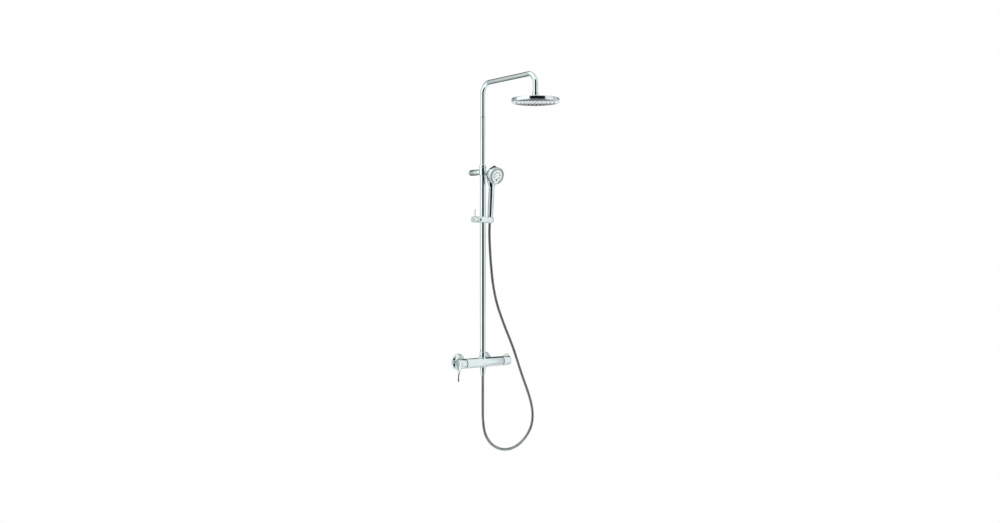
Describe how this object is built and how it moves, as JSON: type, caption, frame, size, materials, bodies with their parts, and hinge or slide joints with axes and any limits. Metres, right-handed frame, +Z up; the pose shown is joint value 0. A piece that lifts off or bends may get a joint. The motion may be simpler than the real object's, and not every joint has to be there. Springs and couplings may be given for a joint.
{
  "type": "rainfall shower column",
  "caption": "Wall-mounted shower column: bar mixer, telescopic riser, swan-neck arm with a round rain head, and a hand shower on a height-adjustable slider with its hose.",
  "frame": {"origin": "on the finished wall's surface, midway between the two water inlets, at the height of the mixer's axis", "axes": "+Z up along the riser, +X along the wall to the right of a person facing it, +Y into the wall, so the shower arm reaches out along -Y"},
  "size_m": [0.4308, 0.575, 1.6535],
  "materials": {
    "chrome_brass": "polished",
    "chrome_plastic": "polished",
    "plain_brass": "satin",
    "bright_steel": "satin",
    "white_plastic": "matte",
    "pale_plastic": "satin",
    "grey_plastic": "satin",
    "black_plastic": "satin",
    "black_rubber": "matte"
  },
  "bodies": {
    "root": {"mixer_body": "chrome_brass", "mixing_cartridge": "white_plastic", "cartridge_nut": "black_plastic", "diverter_valve": "white_plastic", "diverter_nut": "black_plastic", "hose_outlet_nipple": "plain_brass", "hose_outlet_washer": "black_rubber", "hose_lower_nut": "chrome_brass", "left_wall_union": "plain_brass", "left_wall_rosette": "chrome_brass", "left_union_nut": "chrome_brass", "left_inlet_gasket": "black_rubber", "right_wall_union": "plain_brass", "right_wall_rosette": "chrome_brass", "right_union_nut": "chrome_brass", "right_inlet_gasket": "black_rubber", "riser_base_collar": "chrome_brass", "lower_riser_tube": "chrome_brass", "riser_guide_bush": "white_plastic", "bracket_clamp": "chrome_brass", "bracket_top_ring": "chrome_brass", "bracket_neck": "chrome_brass", "bracket_sleeve": "chrome_brass", "bracket_wall_plate": "bright_steel", "bracket_wall_screw": "bright_steel", "bracket_grub_screw": "bright_steel", "shower_hose": "chrome_brass"},
    "lever": {"cartridge_spindle": "plain_brass", "lever_handle": "chrome_brass", "lever_grub_screw": "bright_steel", "lever_rod": "chrome_brass"},
    "diverter": {"diverter_spindle": "plain_brass", "diverter_knob": "chrome_brass", "diverter_grip": "chrome_brass"},
    "upper_riser": {"upper_riser_tube": "chrome_brass", "riser_seal": "black_rubber", "joint_ring": "black_plastic"},
    "arm": {"arm_spigot": "plain_brass", "shower_arm": "chrome_brass", "head_collar": "chrome_brass", "ball_nut": "chrome_brass"},
    "seat": {"ball_seat": "black_rubber"},
    "rain_head": {"head_ball": "plain_brass", "head_shell": "chrome_plastic", "nozzle_mat": "black_rubber", "face_plate": "chrome_plastic"},
    "slider": {"slider_body": "chrome_brass", "slider_bush": "white_plastic"},
    "clamp": {"clamp_knob": "chrome_brass", "clamp_pin": "chrome_brass", "clamp_screw": "bright_steel"},
    "holder": {"holder_socket": "chrome_brass", "holder_liner": "white_plastic"},
    "hand_shower": {"hand_shower_shell": "chrome_plastic", "hand_face_plate": "pale_plastic", "hand_spray_ring": "grey_plastic", "hand_nozzle_insert": "black_rubber", "face_trim_ring": "chrome_plastic", "hose_upper_nut": "chrome_brass"},
    "spray_button": {"spray_button": "black_plastic"}
  },
  "joints": [
    {"name": "lever_turn", "type": "hinge", "parent": "root", "child": "lever", "pos_m": [-0.11, -0.085, 0], "axis": [-1, 0, 0], "range_deg": [0, 105]},
    {"name": "diverter_turn", "type": "hinge", "parent": "root", "child": "diverter", "pos_m": [0.12, -0.085, 0], "axis": [1, 0, 0], "range_deg": [0, 90]},
    {"name": "riser_telescope", "type": "slide", "parent": "root", "child": "upper_riser", "axis": [0, 0, 1], "range_m": [-0.18, 0.06]},
    {"name": "arm_swivel", "type": "hinge", "parent": "upper_riser", "child": "arm", "pos_m": [0, -0.085, 1.086], "axis": [0, 0, 1], "range_deg": [-60, 60]},
    {"name": "head_tilt_side", "type": "hinge", "parent": "arm", "child": "seat", "pos_m": [0, -0.445, 1.134], "axis": [0, 1, 0], "range_deg": [-10, 10]},
    {"name": "head_tilt_fore", "type": "hinge", "parent": "seat", "child": "rain_head", "pos_m": [0, -0.445, 1.134], "axis": [1, 0, 0], "range_deg": [-10, 10]},
    {"name": "slider_height", "type": "slide", "parent": "root", "child": "slider", "axis": [0, 0, 1], "range_m": [-0.3, 0.15], "deforming": ["shower_hose"]},
    {"name": "clamp_turn", "type": "hinge", "parent": "slider", "child": "clamp", "pos_m": [-0.043, -0.085, 0.632], "axis": [1, 0, 0], "range_deg": [0, 90]},
    {"name": "holder_tilt", "type": "hinge", "parent": "slider", "child": "holder", "pos_m": [0.04, -0.085, 0.632], "axis": [1, 0, 0], "range_deg": [0, 30], "deforming": ["shower_hose"]},
    {"name": "hand_shower_lift", "type": "slide", "parent": "holder", "child": "hand_shower", "axis": [0, -0.0872, 0.9962], "range_m": [0, 0.03]},
    {"name": "spray_button_press", "type": "slide", "parent": "hand_shower", "child": "spray_button", "axis": [0, 0.2756, -0.9613], "range_m": [0, 0.002], "stiffness_N_per_m": 600}
  ]
}
